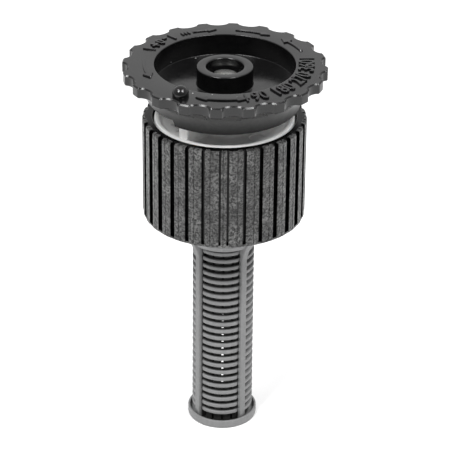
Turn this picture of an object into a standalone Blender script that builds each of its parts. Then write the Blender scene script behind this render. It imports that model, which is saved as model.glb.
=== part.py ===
"""Adjustable-arc spray nozzle with its filter screen, the part that screws on the riser of a pop-up sprinkler.

Frame: metres, +Z up along the nozzle's axis. The origin is on the axis, in the plane where the riser's top end
bears on the gasket. Angles are in degrees from the front (-Y), counter-clockwise seen from above.
"""

import math

import bmesh
import bpy
from mathutils import Matrix, Vector

MM = 0.001
GAP = 0.1 * MM  # between pieces that rest on each other
FINE = 40
MEDIUM = 32
COARSE = 20

# Heights above the riser seat
FACE_Z = 14.0 * MM  # the collar's marked face, at the cup's edge
RIM_Z = FACE_Z - 0.2 * MM
RIM_FOOT_Z = FACE_Z - 1.7 * MM
CUP_FLOOR_Z = FACE_Z - 3.1 * MM
BOSS_Z = FACE_Z - 0.4 * MM
CEILING_Z = FACE_Z - 4.6 * MM
WALL_FOOT_Z = FACE_Z - 5.86 * MM
SKIRT_TOP_Z = FACE_Z - 8.0 * MM
SKIRT_FOOT_Z = FACE_Z - 22.97 * MM
LIP_Z = FACE_Z - 8.0 * MM

# Collar
CUP_R = 9.87 * MM
BOSS_R = 3.95 * MM
WELL_R = 2.65 * MM
TOOTH_TIP_R = 14.35 * MM
TOOTH_VALLEY_R = 13.55 * MM
TEETH = 20
TOOTH_PHASE = -4.6
TOOTH_NOTCH = 11.5  # angle that one notch takes at the tips
WALL_FOOT_R = 10.6 * MM
WALL_THICKNESS = 1.2 * MM
STEP_ANGLE = -40.0
STEP_RISE = 1.05 * MM
STEP_SPAN = 180.0
BUMP_R = 1.2 * MM
BUMP_ANGLE = -29.5

# Arc valve: a helical edge on the collar's sleeve lies on a helical edge on the plate's hub
VALVE_LEAD = 1.05 * MM
VALVE_LOW_Z = 5.7 * MM
SLEEVE_R = 4.4 * MM
CHANNEL_R = 3.5 * MM
FIN_R = 9.0 * MM
FIN_THICKNESS = 1.1 * MM
FIN_ANGLE = -35.6
COLLAR_FIN_OFFSET = 14.5

# Post and screw
POST_R = 2.3 * MM
POST_TOP_Z = 11.0 * MM
POST_FOOT_Z = 2.0 * MM
POST_BORE_R = 1.4 * MM
SCREW_R = 1.25 * MM
SCREW_HEAD_R = 1.85 * MM
SCREW_HEAD_Z = FACE_Z - 1.7 * MM
SCREW_FOOT_Z = -4.2 * MM

# Plate
LIP_R = 9.93 * MM
PLATE_FOOT_Z = 2.8 * MM
SPIGOT_R = 4.2 * MM
SPIGOT_FOOT_Z = -6.5 * MM
SEAT_Z = 0.6 * MM  # underside of the seat that the throttle closes on
SEAT_BORE_R = 2.6 * MM

# Throttle
THROTTLE_R = 2.9 * MM
THROTTLE_TOP_Z = -1.6 * MM
THROTTLE_HEIGHT = 2.0 * MM
EAR_REACH_R = 3.75 * MM
EAR_WIDTH = 1.2 * MM

# Skirt
SKIRT_R = 11.5 * MM
SKIRT_BORE_R = 10.15 * MM
WEB_TOP_Z = PLATE_FOOT_Z - GAP
WEB_FOOT_Z = 1.0 * MM
WEB_HOLE_R = 4.3 * MM
THREAD_CREST_R = 8.95 * MM
GASKET_POCKET_R = 9.1 * MM
GROOVE_DEPTH = 0.55 * MM
GROOVE_WIDTH = 0.42 * MM
GROOVE_FOOT_Z = SKIRT_FOOT_Z + 0.4 * MM
WIDE_LANDS = 15  # on each half, between the two narrow lands at the mould's parting
NARROW_LAND = 5.5

# Filter
CAGE_R = 4.5 * MM
RING_R = 4.15 * MM  # in the front and back windows, where the rings lie below the ribs' faces
CAGE_BORE_R = 3.55 * MM
HEAD_R = 6.0 * MM
HEAD_BORE_R = 5.0 * MM
HEAD_FOOT_Z = FACE_Z - 26.3 * MM
NECK_R = 3.4 * MM
NECK_BORE_R = 2.95 * MM
NECK_TOP_Z = -4.3 * MM
SHOULDER_Z = SPIGOT_FOOT_Z - GAP
RING_PITCH = 1.1745 * MM
FIRST_RING_Z = FACE_Z - 28.275 * MM
RINGS = 24
SLOT_HEIGHT = 0.62 * MM
WINDOWS = ((-50.0, 37.0), (50.0, 116.0), (130.0, 217.0), (230.0, 296.0))
CAP_R = 5.08 * MM
CAP_FOOT_Z = FACE_Z - 57.4 * MM
CAP_RIM_Z = CAP_FOOT_Z + 1.05 * MM
CAP_FLOOR_Z = CAP_FOOT_Z + 0.4 * MM


def clear_scene():
    for obj in list(bpy.data.objects):
        bpy.data.objects.remove(obj, do_unlink=True)


def new_collection(name):
    collection = bpy.data.collections.new(name)
    bpy.context.scene.collection.children.link(collection)
    return collection


def new_material(name, colour, roughness, metallic=0.0):
    material = bpy.data.materials.new(name)
    material.use_nodes = True
    shader = material.node_tree.nodes["Principled BSDF"]
    shader.inputs["Base Color"].default_value = (*colour, 1.0)
    shader.inputs["Roughness"].default_value = roughness
    shader.inputs["Metallic"].default_value = metallic
    return material


def direction(angle):
    """The level unit vector at this angle from the front."""
    turn = math.radians(angle)
    return Vector((math.sin(turn), -math.cos(turn), 0.0))


def facing(angle):
    """The rotation that turns +X to this angle from the front."""
    return Matrix.Rotation(math.radians(angle - 90.0), 4, "Z")


class Workshop:
    """Makes objects in the part's collection, and tool shapes in a hidden one."""

    def __init__(self):
        self.parts = new_collection("spray_nozzle")
        self.tools = new_collection("tool_shapes")

    def add(self, name, mesh, material=None):
        """A sub-part if it has a material, and a tool shape if it has none."""
        obj = bpy.data.objects.new(name, mesh)
        if material:
            mesh.materials.append(material)
            self.parts.objects.link(obj)
        else:
            self.tools.objects.link(obj)
            obj.hide_render = True
            obj.display_type = "WIRE"
        return obj

    def from_bmesh(self, name, shape, material=None):
        mesh = bpy.data.meshes.new(name)
        bmesh.ops.recalc_face_normals(shape, faces=shape.faces)
        shape.to_mesh(mesh)
        shape.free()
        return self.add(name, mesh, material)

    def turned(self, name, profile, steps, material=None, closed=True):
        """A profile of (radius, height) points that runs down its outer side, turned about the axis."""
        points = [(radius, 0.0, height) for radius, height in profile]
        edges = [(i, i + 1) for i in range(len(points) - 1)]
        if closed:
            edges.append((len(points) - 1, 0))
        mesh = bpy.data.meshes.new(name)
        mesh.from_pydata(points, edges, [])
        obj = self.add(name, mesh, material)
        screw = obj.modifiers.new("turn", "SCREW")
        screw.steps = steps
        screw.render_steps = steps
        screw.use_merge_vertices = True
        screw.merge_threshold = 0.01 * MM
        screw.use_smooth_shade = False
        return obj

    def block(self, name, size, centre, angle=0.0):
        """A box whose length runs outwards at this angle, centred at (distance from the axis, height)."""
        shape = bmesh.new()
        bmesh.ops.create_cube(shape, size=1.0)
        bmesh.ops.scale(shape, vec=size, verts=shape.verts)
        bmesh.ops.translate(shape, vec=(centre[0], 0.0, centre[1]), verts=shape.verts)
        bmesh.ops.transform(shape, matrix=facing(angle), verts=shape.verts)
        return self.from_bmesh(name, shape)

    def blocks(self, name, size, centre, angles):
        """Equal boxes at several angles, as one tool."""
        shape = bmesh.new()
        for angle in angles:
            made = bmesh.ops.create_cube(shape, size=1.0)["verts"]
            bmesh.ops.scale(shape, vec=size, verts=made)
            bmesh.ops.translate(shape, vec=(centre[0], 0.0, centre[1]), verts=made)
            bmesh.ops.transform(shape, matrix=facing(angle), verts=made)
        return self.from_bmesh(name, shape)

    def helical_ring(self, name, inner_r, outer_r, flat_z, low_z, start):
        """A ring with one flat face and one face that climbs the valve's lead in one turn, with a step."""
        stations = MEDIUM
        shape = bmesh.new()
        flat = []
        climb = []
        for i in range(stations + 1):
            way = direction(start + 360.0 * i / stations)
            height = low_z + VALVE_LEAD * i / stations
            if i < stations:
                flat.append([shape.verts.new(way * r + Vector((0, 0, flat_z))) for r in (inner_r, outer_r)])
            climb.append([shape.verts.new(way * r + Vector((0, 0, height))) for r in (inner_r, outer_r)])
        for i in range(stations):
            a, b = flat[i], flat[(i + 1) % stations]
            c, d = climb[i], climb[i + 1]
            shape.faces.new((a[0], b[0], b[1], a[1]))
            shape.faces.new((c[0], d[0], d[1], c[1]))
            for side in (0, 1):
                corners = [a[side], b[side], d[side], c[side]]
                if flat_z < low_z and i == stations - 1:
                    corners.insert(2, climb[0][side])
                if flat_z > low_z and i == 0:
                    corners.append(climb[-1][side])
                shape.faces.new(corners)
        shape.faces.new((climb[0][0], climb[0][1], climb[-1][1], climb[-1][0]))
        return self.from_bmesh(name, shape)


def combine(target, tool, operation):
    modifier = target.modifiers.new(operation.lower() + "_" + tool.name, "BOOLEAN")
    modifier.operation = operation
    modifier.solver = "EXACT"
    modifier.object = tool
    return target


def cut(target, *tools):
    for tool in tools:
        combine(target, tool, "DIFFERENCE")


def join(target, *tools):
    for tool in tools:
        combine(target, tool, "UNION")


def tooth_outline():
    """The scalloped outline: short arcs at the tips and a round notch between each pair."""
    points = []
    pitch = 360.0 / TEETH
    half_notch = TOOTH_NOTCH / 2.0
    depth = TOOTH_TIP_R - TOOTH_VALLEY_R
    for tooth in range(TEETH):
        middle = TOOTH_PHASE + tooth * pitch
        half_tip = (pitch - TOOTH_NOTCH) / 2.0
        for share in (-1.0, 0.0, 1.0):
            points.append(direction(middle + share * half_tip) * TOOTH_TIP_R)
        for share in (-0.8, -0.45, 0.0, 0.45, 0.8):
            sink = depth * math.sqrt(1.0 - share * share)
            notch = middle + pitch / 2.0 + share * half_notch
            points.append(direction(notch) * (TOOTH_TIP_R - sink))
    return points


def scalloped_disc(shop):
    """The collar's gripping rim, as a flat outline with thickness and a small chamfer."""
    curve = bpy.data.curves.new("rim_outline", "CURVE")
    curve.dimensions = "2D"
    curve.fill_mode = "BOTH"
    half = (RIM_Z - RIM_FOOT_Z) / 2.0
    curve.extrude = half
    outline = tooth_outline()
    spline = curve.splines.new("POLY")
    spline.points.add(len(outline) - 1)
    for point, place in zip(spline.points, outline):
        point.co = (place.x, place.y, 0.0, 1.0)
    spline.use_cyclic_u = True
    hole = curve.splines.new("POLY")
    hole.points.add(FINE - 1)
    for i, point in enumerate(hole.points):
        place = direction(360.0 * i / FINE) * 12.2 * MM
        point.co = (place.x, place.y, 0.0, 1.0)
    hole.use_cyclic_u = True
    source = bpy.data.objects.new("rim_outline", curve)
    source.location.z = RIM_FOOT_Z + half
    shop.tools.objects.link(source)
    bpy.context.view_layer.update()
    graph = bpy.context.evaluated_depsgraph_get()
    mesh = bpy.data.meshes.new_from_object(source.evaluated_get(graph))
    shape = bmesh.new()
    shape.from_mesh(mesh)
    bmesh.ops.remove_doubles(shape, verts=shape.verts, dist=0.001 * MM)
    disc = shop.from_bmesh("rim_disc", shape)
    disc.matrix_world = source.matrix_world.copy()
    bpy.data.objects.remove(source, do_unlink=True)
    bpy.data.meshes.remove(mesh)
    chamfer = disc.modifiers.new("chamfer", "BEVEL")
    chamfer.width = 0.22 * MM
    chamfer.segments = 1
    chamfer.limit_method = "ANGLE"
    chamfer.angle_limit = math.radians(60.0)
    return disc


def flare(start, pull, end, steps):
    """A curve of (radius, height) points that leaves start towards pull and comes to end from it."""
    points = []
    for i in range(steps + 1):
        t = i / steps
        place = Vector(start) * (1 - t) ** 2 + Vector(pull) * 2 * t * (1 - t) + Vector(end) * t * t
        points.append((place.x, place.y))
    return points


def make_collar(shop, plastic, axis):
    inner_foot_r = WALL_FOOT_R - WALL_THICKNESS
    sleeve_foot_z = VALVE_LOW_Z
    bore_r = POST_R + 0.12 * MM
    seal_top_z = FACE_Z - 5.4 * MM
    seal_foot_z = FACE_Z - 6.5 * MM
    seal_pocket_r = 3.2 * MM
    profile = [(CUP_R, FACE_Z), (13.1 * MM, RIM_Z)]
    profile += flare((13.35 * MM, RIM_FOOT_Z), (11.6 * MM, FACE_Z - 2.6 * MM), (WALL_FOOT_R, WALL_FOOT_Z), 4)
    profile += [
        (inner_foot_r, WALL_FOOT_Z),
        (inner_foot_r, CEILING_Z + 0.3 * MM),
        (inner_foot_r - 0.5 * MM, CEILING_Z),
        (SLEEVE_R, CEILING_Z),
        (SLEEVE_R, sleeve_foot_z),
        (bore_r, sleeve_foot_z),
        (bore_r, seal_foot_z),
        (seal_pocket_r, seal_foot_z),
        (seal_pocket_r, seal_top_z),
        (bore_r, seal_top_z),
        (bore_r, FACE_Z - 4.1 * MM),
        (WELL_R, FACE_Z - 4.1 * MM),
        (WELL_R, BOSS_Z - 0.15 * MM),
        (WELL_R + 0.15 * MM, BOSS_Z),
        (BOSS_R, BOSS_Z),
        (BOSS_R, CUP_FLOOR_Z - 0.3 * MM),
        (CUP_R - 0.3 * MM, CUP_FLOOR_Z),
    ]
    collar = shop.turned("arc_collar", profile, FINE, plastic)
    fin_length = FIN_R - 0.6 * MM - SLEEVE_R
    collar_fin = shop.block(
        "collar_fin",
        (fin_length + 0.4 * MM, 1.0 * MM, 2.1 * MM),
        (SLEEVE_R + fin_length / 2.0, CEILING_Z - 0.75 * MM),
        FIN_ANGLE + COLLAR_FIN_OFFSET,
    )
    bump = bmesh.new()
    bmesh.ops.create_uvsphere(bump, u_segments=16, v_segments=10, radius=BUMP_R)
    place = direction(BUMP_ANGLE) * 12.15 * MM + Vector((0, 0, FACE_Z + 0.1 * MM))
    bmesh.ops.translate(bump, vec=place, verts=bump.verts)
    join(collar, scalloped_disc(shop), collar_fin, shop.from_bmesh("index_bump", bump))
    high = shop.turned(
        "wall_step",
        [(12.4 * MM, WALL_FOOT_Z + STEP_RISE), (12.4 * MM, WALL_FOOT_Z - GAP),
         (9.2 * MM, WALL_FOOT_Z - GAP), (9.2 * MM, WALL_FOOT_Z + STEP_RISE)],
        FINE,
    )
    turn = high.modifiers["turn"]
    turn.angle = math.radians(360.0 - STEP_SPAN)
    turn.steps = turn.render_steps = FINE // 2
    high.rotation_euler.z = math.radians(STEP_ANGLE + STEP_SPAN - 90.0)
    cap_ends(high)
    helix = shop.helical_ring("valve_edge_tool", 2.0 * MM, 5.2 * MM, VALVE_LOW_Z - 1.0 * MM, VALVE_LOW_Z, STEP_ANGLE)
    cut(collar, high, helix)
    collar.parent = axis
    return collar


def cap_ends(obj):
    """Closes the open ends of a part-turned tool, and makes its faces point out."""
    bpy.context.view_layer.update()
    graph = bpy.context.evaluated_depsgraph_get()
    turned = bpy.data.meshes.new_from_object(obj.evaluated_get(graph))
    shape = bmesh.new()
    shape.from_mesh(turned)
    bmesh.ops.holes_fill(shape, edges=[edge for edge in shape.edges if edge.is_boundary])
    bmesh.ops.recalc_face_normals(shape, faces=shape.faces)
    obj.modifiers.clear()
    shape.to_mesh(obj.data)
    shape.free()
    bpy.data.meshes.remove(turned)


def make_o_ring(name, middle_r, thickness, height, rubber, shop, axis=None):
    bpy.ops.mesh.primitive_torus_add(
        major_segments=COARSE,
        minor_segments=8,
        major_radius=middle_r,
        minor_radius=thickness / 2.0,
        location=(0.0, 0.0, height),
    )
    ring = bpy.context.object
    ring.name = name
    ring.data.name = name
    ring.data.materials.append(rubber)
    for collection in list(ring.users_collection):
        collection.objects.unlink(ring)
    shop.parts.objects.link(ring)
    ring.parent = axis
    return ring


def make_screw(shop, steel, axis):
    head_foot_z = SCREW_HEAD_Z - 0.9 * MM
    profile = [
        (0.0, SCREW_HEAD_Z),
        (SCREW_HEAD_R - 0.2 * MM, SCREW_HEAD_Z),
        (SCREW_HEAD_R, SCREW_HEAD_Z - 0.2 * MM),
        (SCREW_HEAD_R, head_foot_z),
        (SCREW_R, head_foot_z),
        (SCREW_R, 1.75 * MM),
        (SCREW_R - 0.35 * MM, 1.75 * MM),
        (SCREW_R - 0.35 * MM, 1.25 * MM),
        (SCREW_R, 1.25 * MM),
        (SCREW_R, SCREW_FOOT_Z + 0.3 * MM),
        (SCREW_R - 0.3 * MM, SCREW_FOOT_Z),
        (0.0, SCREW_FOOT_Z),
    ]
    screw = shop.turned("radius_screw", profile, COARSE, steel, closed=False)
    slot = shop.block("screw_slot", (5.0 * MM, 0.6 * MM, 0.9 * MM), (0.0, SCREW_HEAD_Z), 62.0)
    cut(screw, slot)
    screw.parent = axis


def make_washer(shop, steel):
    top = SCREW_HEAD_Z - 0.95 * MM
    foot = top - 0.3 * MM
    outer = WELL_R - 0.1 * MM
    inner = SCREW_R + 0.1 * MM
    shop.turned("thrust_washer", [(outer, top), (outer, foot), (inner, foot), (inner, top)], COARSE, steel)


def make_clip(shop, steel, axis):
    """A C-shaped clip in the screw's groove, just below the post."""
    top = 1.68 * MM
    foot = 1.32 * MM
    outer = 1.95 * MM
    inner = SCREW_R - 0.3 * MM
    clip = shop.turned("retaining_clip", [(outer, top), (outer, foot), (inner, foot), (inner, top)], COARSE, steel)
    mouth = shop.block("clip_mouth", (3.0 * MM, 1.3 * MM, 1.5 * MM), (1.5 * MM, 1.5 * MM), 20.0)
    cut(clip, mouth)
    clip.parent = axis


def make_throttle(shop, plastic, axis):
    """The nut that closes on the seat, with two ears that keep it from turning."""
    foot = THROTTLE_TOP_Z - THROTTLE_HEIGHT
    bore_r = SCREW_R + 0.08 * MM
    profile = [
        (SEAT_BORE_R - 0.6 * MM, THROTTLE_TOP_Z),
        (THROTTLE_R, THROTTLE_TOP_Z - 0.9 * MM),
        (THROTTLE_R, foot),
        (bore_r, foot),
        (bore_r, THROTTLE_TOP_Z),
    ]
    throttle = shop.turned("throttle_nut", profile, COARSE, plastic)
    reach = EAR_REACH_R - 2.2 * MM
    ears = shop.blocks(
        "throttle_ears", (reach, EAR_WIDTH, 0.9 * MM), (2.2 * MM + reach / 2.0, foot + 0.55 * MM), (90.0, 270.0)
    )
    join(throttle, ears)
    throttle.parent = axis


def make_plate(shop, plastic):
    """The pale plate: its dished face and lip, the hub with the fixed valve edge, the spigot and the post."""
    hub_top_z = VALVE_LOW_Z + VALVE_LEAD
    groove_r = (6.5 * MM, 7.9 * MM)
    groove_z = PLATE_FOOT_Z + 1.05 * MM
    bead_r = WEB_HOLE_R + 0.1 * MM
    bead_z = WEB_FOOT_Z - GAP
    profile = [
        (CHANNEL_R, hub_top_z),
        (SLEEVE_R, hub_top_z),
        (SLEEVE_R + 0.15 * MM, 4.6 * MM),
        (7.0 * MM, 4.75 * MM),
        (8.6 * MM, 5.25 * MM),
        (9.2 * MM, LIP_Z - 0.25 * MM),
        (9.5 * MM, LIP_Z),
        (9.8 * MM, LIP_Z),
        (LIP_R, LIP_Z - 0.15 * MM),
        (LIP_R, PLATE_FOOT_Z),
        (groove_r[1], PLATE_FOOT_Z),
        (groove_r[1], groove_z),
        (groove_r[0], groove_z),
        (groove_r[0], PLATE_FOOT_Z),
        (SPIGOT_R, PLATE_FOOT_Z),
        (SPIGOT_R, bead_z),
        (bead_r, bead_z - 0.1 * MM),
        (SPIGOT_R, bead_z - 0.6 * MM),
        (SPIGOT_R, SPIGOT_FOOT_Z),
        (CHANNEL_R, SPIGOT_FOOT_Z),
        (CHANNEL_R, SEAT_Z),
        (SEAT_BORE_R, SEAT_Z),
        (SEAT_BORE_R, SEAT_Z + 0.5 * MM),
        (CHANNEL_R, SEAT_Z + 1.2 * MM),
    ]
    plate = shop.turned("nozzle_plate", profile, FINE, plastic)
    seal_foot_z = POST_TOP_Z - 1.5 * MM
    seal_top_z = POST_TOP_Z - 0.6 * MM
    post = shop.turned(
        "post_shape",
        [
            (POST_R, POST_TOP_Z),
            (POST_R, POST_FOOT_Z),
            (POST_BORE_R, POST_FOOT_Z),
            (POST_BORE_R, seal_foot_z),
            (2.0 * MM, seal_foot_z),
            (2.0 * MM, seal_top_z),
            (POST_BORE_R, seal_top_z),
            (POST_BORE_R, POST_TOP_Z),
        ],
        COARSE,
    )
    web_length = CHANNEL_R - POST_R + 0.8 * MM
    webs = shop.blocks(
        "post_webs",
        (web_length, 0.9 * MM, 2.4 * MM),
        ((CHANNEL_R + POST_R) / 2.0, POST_FOOT_Z + 1.4 * MM),
        (30.0, 150.0, 270.0),
    )
    fin_length = FIN_R - SLEEVE_R
    fin_top_z = CEILING_Z - 0.35 * MM
    fin_foot_z = 4.0 * MM
    fin = shop.block(
        "plate_fin",
        (fin_length + 0.2 * MM, FIN_THICKNESS, fin_top_z - fin_foot_z),
        (SLEEVE_R + fin_length / 2.0 + 0.1 * MM, (fin_top_z + fin_foot_z) / 2.0),
        FIN_ANGLE,
    )
    join(plate, post, webs, fin)
    valve = shop.helical_ring(
        "hub_edge_tool",
        2.9 * MM,
        SLEEVE_R + 0.12 * MM,
        hub_top_z + 1.0 * MM,
        VALVE_LOW_Z - 0.06 * MM,
        STEP_ANGLE - 1.5,
    )
    keyways = shop.blocks(
        "throttle_keyways",
        (1.6 * MM, EAR_WIDTH + 0.2 * MM, SEAT_Z - 0.4 * MM - SPIGOT_FOOT_Z + 1.0 * MM),
        (EAR_REACH_R + 0.1 * MM - 0.8 * MM, (SEAT_Z - 0.4 * MM + SPIGOT_FOOT_Z - 1.0 * MM) / 2.0),
        (90.0, 270.0),
    )
    cut(plate, valve, keyways)


def groove_angles():
    """The grooves that separate the skirt's lands: wide lands, and one narrow land at the front and the back."""
    half_turn = 180.0 - NARROW_LAND
    pitch = half_turn / WIDE_LANDS
    angles = []
    for side in (0.0, 180.0):
        first = side + NARROW_LAND / 2.0
        angles += [first + i * pitch for i in range(WIDE_LANDS + 1)]
    return angles


def make_skirt(shop, plastic):
    profile = [
        (SKIRT_BORE_R, SKIRT_TOP_Z),
        (SKIRT_R - 0.2 * MM, SKIRT_TOP_Z),
        (SKIRT_R, SKIRT_TOP_Z - 0.2 * MM),
        (SKIRT_R, SKIRT_FOOT_Z),
        (THREAD_CREST_R + 0.6 * MM, SKIRT_FOOT_Z),
        (THREAD_CREST_R, SKIRT_FOOT_Z + 0.6 * MM),
        (THREAD_CREST_R, -GAP),
        (GASKET_POCKET_R, 0.0),
        (GASKET_POCKET_R, WEB_FOOT_Z),
        (WEB_HOLE_R, WEB_FOOT_Z),
        (WEB_HOLE_R, WEB_TOP_Z),
        (SKIRT_BORE_R, WEB_TOP_Z),
    ]
    skirt = shop.turned("ribbed_skirt", profile, 64, plastic)
    height = SKIRT_TOP_Z + 1.0 * MM - GROOVE_FOOT_Z
    grooves = shop.blocks(
        "groove_tools",
        (2.0 * MM, GROOVE_WIDTH, height),
        (SKIRT_R - GROOVE_DEPTH + 1.0 * MM, GROOVE_FOOT_Z + height / 2.0),
        groove_angles(),
    )
    cut(skirt, grooves)


def make_gasket(shop, rubber):
    outer = THREAD_CREST_R - 0.05 * MM
    inner = 4.6 * MM
    top = WEB_FOOT_Z - 0.05 * MM
    shop.turned("riser_gasket", [(outer, top), (outer, 0.0), (inner, 0.0), (inner, top)], FINE, rubber)


def make_filter(shop, plastic, axis):
    """The slotted tube with its wider head, and the neck on top, which pushes into the spigot."""
    head_web_z = SHOULDER_Z - 1.0 * MM
    profile = [
        (NECK_BORE_R, NECK_TOP_Z),
        (NECK_R - 0.1 * MM, NECK_TOP_Z),
        (NECK_R, NECK_TOP_Z - 0.3 * MM),
        (NECK_R, SHOULDER_Z),
        (HEAD_R - 0.3 * MM, SHOULDER_Z),
        (HEAD_R, SHOULDER_Z - 0.3 * MM),
    ]
    profile += flare((HEAD_R, HEAD_FOOT_Z), (4.75 * MM, HEAD_FOOT_Z - 1.7 * MM), (CAGE_R, HEAD_FOOT_Z - 3.5 * MM), 4)
    profile += [
        (CAGE_R, CAP_FLOOR_Z + GAP),
        (CAGE_BORE_R, CAP_FLOOR_Z + GAP),
        (CAGE_BORE_R, HEAD_FOOT_Z - 1.2 * MM),
        (HEAD_BORE_R, HEAD_FOOT_Z),
        (HEAD_BORE_R, head_web_z),
        (NECK_BORE_R, head_web_z),
    ]
    screen = shop.turned("filter_screen", profile, COARSE, plastic)
    windows = bmesh.new()
    top_slot_z = FIRST_RING_Z + RING_PITCH / 2.0 + SLOT_HEIGHT / 2.0
    for start, end in WINDOWS[::2]:
        add_sector(windows, RING_R, (start, end), (CAP_FLOOR_Z - 1.0 * MM, top_slot_z))
    slots = bmesh.new()
    for level in range(RINGS + 1):
        middle_z = FIRST_RING_Z + RING_PITCH / 2.0 - level * RING_PITCH
        for start, end in WINDOWS:
            span = (middle_z - SLOT_HEIGHT / 2.0, middle_z + SLOT_HEIGHT / 2.0)
            add_sector(slots, 2.6 * MM, (start, end), span)
    cut(screen, shop.from_bmesh("window_tools", windows), shop.from_bmesh("slot_tools", slots))
    screen.parent = axis


def add_sector(shape, inner_r, angles, heights):
    """A wedge-shaped block outside inner_r, between two angles and two heights."""
    start, end = angles
    outer_r = 7.5 * MM
    steps = 6 if inner_r > CAGE_BORE_R else 2
    turns = [start + (end - start) * i / steps for i in range(steps + 1)]
    corners = [direction(turn) * inner_r for turn in reversed(turns)]
    corners += [direction(turn) * outer_r for turn in (start, (start + end) / 2.0, end)]
    low = [shape.verts.new(corner + Vector((0, 0, heights[0]))) for corner in corners]
    face = shape.faces.new(low)
    made = bmesh.ops.extrude_face_region(shape, geom=[face])["geom"]
    raised = [item for item in made if isinstance(item, bmesh.types.BMVert)]
    bmesh.ops.translate(shape, vec=(0, 0, heights[1] - heights[0]), verts=raised)


def make_end_cap(shop, plastic, axis):
    profile = [
        (0.0, CAP_FLOOR_Z + 0.9 * MM),
        (CAGE_BORE_R - 0.1 * MM, CAP_FLOOR_Z + 0.9 * MM),
        (CAGE_BORE_R - 0.1 * MM, CAP_FLOOR_Z),
        (CAP_R - 0.32 * MM, CAP_FLOOR_Z),
        (CAP_R - 0.32 * MM, CAP_RIM_Z),
        (CAP_R - 0.08 * MM, CAP_RIM_Z),
        (CAP_R, CAP_RIM_Z - 0.1 * MM),
        (CAP_R, CAP_FOOT_Z + 0.15 * MM),
        (CAP_R - 0.15 * MM, CAP_FOOT_Z),
        (0.0, CAP_FOOT_Z),
    ]
    cap = shop.turned("filter_end_cap", profile, MEDIUM, plastic, closed=False)
    cap.parent = axis


def make_axis(shop, name):
    """An empty on the nozzle's axis that a moving body hangs from."""
    axis = bpy.data.objects.new(name, None)
    axis.empty_display_size = 5.0 * MM
    shop.parts.objects.link(axis)
    return axis


def shade_round(collection):
    for obj in collection.objects:
        if obj.type == "MESH":
            obj.data.shade_smooth()
            obj.data.set_sharp_from_angle(angle=math.radians(35.0))


def main():
    clear_scene()
    shop = Workshop()
    black = new_material("black_plastic", (0.025, 0.025, 0.026), 0.45)
    grained = new_material("grained_black_plastic", (0.03, 0.03, 0.03), 0.7)
    pale = new_material("pale_plastic", (0.62, 0.62, 0.61), 0.4)
    grey = new_material("grey_plastic", (0.25, 0.25, 0.25), 0.55)
    rubber = new_material("seal_rubber", (0.02, 0.02, 0.02), 0.8)
    steel = new_material("stainless_steel", (0.6, 0.6, 0.58), 0.3, 1.0)

    arc_axis = make_axis(shop, "arc_axis")
    rise_axis = make_axis(shop, "collar_rise_axis")
    radius_axis = make_axis(shop, "radius_axis")
    throttle_axis = make_axis(shop, "throttle_axis")
    filter_axis = make_axis(shop, "filter_axis")
    arc_axis.parent = rise_axis

    make_skirt(shop, grained)
    make_plate(shop, pale)
    make_gasket(shop, rubber)
    make_o_ring("plate_seal", 7.2 * MM, 1.1 * MM, WEB_TOP_Z + 0.6 * MM, rubber, shop)
    make_o_ring("screw_seal", 1.65 * MM, 0.6 * MM, POST_TOP_Z - 1.05 * MM, rubber, shop)
    make_washer(shop, steel)
    make_collar(shop, black, arc_axis)
    make_o_ring("collar_seal", 2.76 * MM, 0.76 * MM, FACE_Z - 5.95 * MM, rubber, shop, rise_axis)
    make_screw(shop, steel, radius_axis)
    make_clip(shop, steel, radius_axis)
    make_throttle(shop, black, throttle_axis)
    make_filter(shop, grey, filter_axis)
    make_end_cap(shop, grey, filter_axis)
    shade_round(shop.parts)


main()
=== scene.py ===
"""The finished look of the adjustable-arc spray nozzle: fine meshes and moulded plastics.

Everything is in the CAD's frame, in metres, +Z up. Angles are in degrees from the front (-Y),
counter-clockwise seen from above. Lengths are written in millimetres times MM. A name that ends
in _R is a distance from the upright axis, and one that ends in _Z is a height.
"""

import math

import bmesh
import bpy
import numpy as np
from mathutils import Matrix, Vector


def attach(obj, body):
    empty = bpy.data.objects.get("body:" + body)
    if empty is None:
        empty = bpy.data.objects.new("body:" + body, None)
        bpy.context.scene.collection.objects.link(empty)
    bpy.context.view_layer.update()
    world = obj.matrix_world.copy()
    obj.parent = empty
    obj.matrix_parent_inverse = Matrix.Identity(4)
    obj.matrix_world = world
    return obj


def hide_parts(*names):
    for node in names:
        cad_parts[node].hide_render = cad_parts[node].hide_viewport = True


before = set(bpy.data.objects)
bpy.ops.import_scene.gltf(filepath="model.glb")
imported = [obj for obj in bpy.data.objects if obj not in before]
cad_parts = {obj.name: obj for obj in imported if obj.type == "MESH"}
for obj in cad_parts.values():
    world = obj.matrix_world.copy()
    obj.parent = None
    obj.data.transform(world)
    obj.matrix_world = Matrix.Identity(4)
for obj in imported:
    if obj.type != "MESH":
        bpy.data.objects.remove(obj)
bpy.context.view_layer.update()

MM = 0.001
FACE_Z = 14.0 * MM  # the collar's marked face, at the cup's edge

# Collar
RIM_Z = FACE_Z - 0.12 * MM
RIM_FOOT_Z = FACE_Z - 1.7 * MM
CUP_R = 9.87 * MM
CUP_FLOOR_Z = FACE_Z - 3.1 * MM
BOSS_R = 3.95 * MM
BOSS_Z = FACE_Z - 0.4 * MM
WELL_R = 2.65 * MM
FACE_R = 13.1 * MM  # where the sloping face ends
TIP_R = 14.35 * MM
NOTCH_DEPTH = 0.8 * MM
TEETH = 20
TOOTH_PHASE = -4.6
TOOTH_NOTCH = 11.5
RIM_CHAMFER = 0.2 * MM
WALL_FOOT_R = 10.6 * MM
WALL_INNER_R = 9.4 * MM
WALL_FOOT_Z = FACE_Z - 5.86 * MM
WALL_STEP_RISE = 1.05 * MM
LOW_WALL = (-40.0, 140.0)  # angles over which the wall reaches its lowest edge
CEILING_Z = FACE_Z - 4.6 * MM
WELL_FLOOR_Z = FACE_Z - 4.1 * MM
FLARE_TOP_R = 13.35 * MM
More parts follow.
